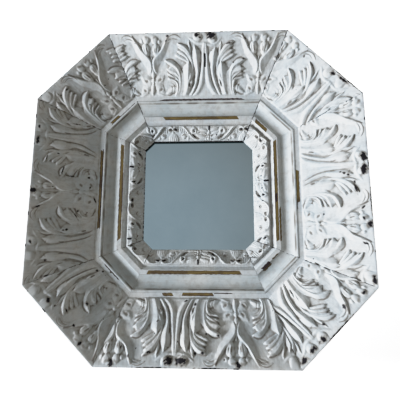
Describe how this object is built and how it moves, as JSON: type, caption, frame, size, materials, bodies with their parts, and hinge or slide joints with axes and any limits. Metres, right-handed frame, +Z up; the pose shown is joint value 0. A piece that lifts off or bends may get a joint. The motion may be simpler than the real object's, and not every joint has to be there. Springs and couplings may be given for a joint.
{
  "type": "wall mirror",
  "caption": "Octagonal wall mirror recessed in a deep frame of white painted pressed tin with acanthus relief, a cove and a scroll band, hung from D-rings on the back.",
  "frame": {"origin": "middle of the frame on the wall plane, where the four bumpers touch the wall", "axes": "+Y into the wall, +Z up, +X to the right of a viewer in front, who looks along +Y"},
  "size_m": [0.915, 0.15, 0.915],
  "materials": {
    "painted_tin": "white paint over pressed tin, worn to brown metal on flat edges",
    "painted_moulding": "white paint over planed wood",
    "pine": "sawn and planed, unfinished",
    "plywood": "sawn, unfinished",
    "mirror_plate": "silvered flat glass",
    "hardboard": "smooth tempered hardboard",
    "zinc_steel": "bright zinc plate",
    "rubber": "moulded, matt"
  },
  "bodies": {
    "frame": {"backing_board": "hardboard", "base_rail_bottom": "pine", "base_rail_bottom_left": "pine", "base_rail_bottom_right": "pine", "base_rail_left": "pine", "base_rail_right": "pine", "base_rail_top": "pine", "base_rail_top_left": "pine", "base_rail_top_right": "pine", "clip_screws": "zinc_steel", "corner_rib_1": "plywood", "corner_rib_2": "plywood", "corner_rib_3": "plywood", "corner_rib_4": "plywood", "corner_rib_5": "plywood", "corner_rib_6": "plywood", "corner_rib_7": "plywood", "corner_rib_8": "plywood", "cove_moulding_bottom": "painted_moulding", "cove_moulding_bottom_left": "painted_moulding", "cove_moulding_bottom_right": "painted_moulding", "cove_moulding_left": "painted_moulding", "cove_moulding_right": "painted_moulding", "cove_moulding_top": "painted_moulding", "cove_moulding_top_left": "painted_moulding", "cove_moulding_top_right": "painted_moulding", "hanger_screws": "zinc_steel", "hanger_strap_left": "zinc_steel", "hanger_strap_right": "zinc_steel", "inner_band_bottom": "painted_tin", "inner_band_bottom_left": "painted_tin", "inner_band_bottom_right": "painted_tin", "inner_band_left": "painted_tin", "inner_band_right": "painted_tin", "inner_band_top": "painted_tin", "inner_band_top_left": "painted_tin", "inner_band_top_right": "painted_tin", "mirror_clips": "zinc_steel", "mirror_plate": "mirror_plate", "outer_panel_bottom": "painted_tin", "outer_panel_bottom_left": "painted_tin", "outer_panel_bottom_right": "painted_tin", "outer_panel_left": "painted_tin", "outer_panel_right": "painted_tin", "outer_panel_top": "painted_tin", "outer_panel_top_left": "painted_tin", "outer_panel_top_right": "painted_tin", "rim_rail_bottom": "pine", "rim_rail_bottom_left": "pine", "rim_rail_bottom_right": "pine", "rim_rail_left": "pine", "rim_rail_right": "pine", "rim_rail_top": "pine", "rim_rail_top_left": "pine", "rim_rail_top_right": "pine", "wall_bumpers": "rubber"},
    "left_d_ring": {"hanger_ring_left": "zinc_steel"},
    "right_d_ring": {"hanger_ring_right": "zinc_steel"}
  },
  "joints": [
    {"name": "left_d_ring_swing", "type": "hinge", "parent": "frame", "child": "left_d_ring", "pos_m": [-0.24, -0.0025, 0.11], "axis": [1, 0, 0], "range_deg": [0, 180]},
    {"name": "right_d_ring_swing", "type": "hinge", "parent": "frame", "child": "right_d_ring", "pos_m": [0.24, -0.0025, 0.11], "axis": [1, 0, 0], "range_deg": [0, 180]}
  ]
}
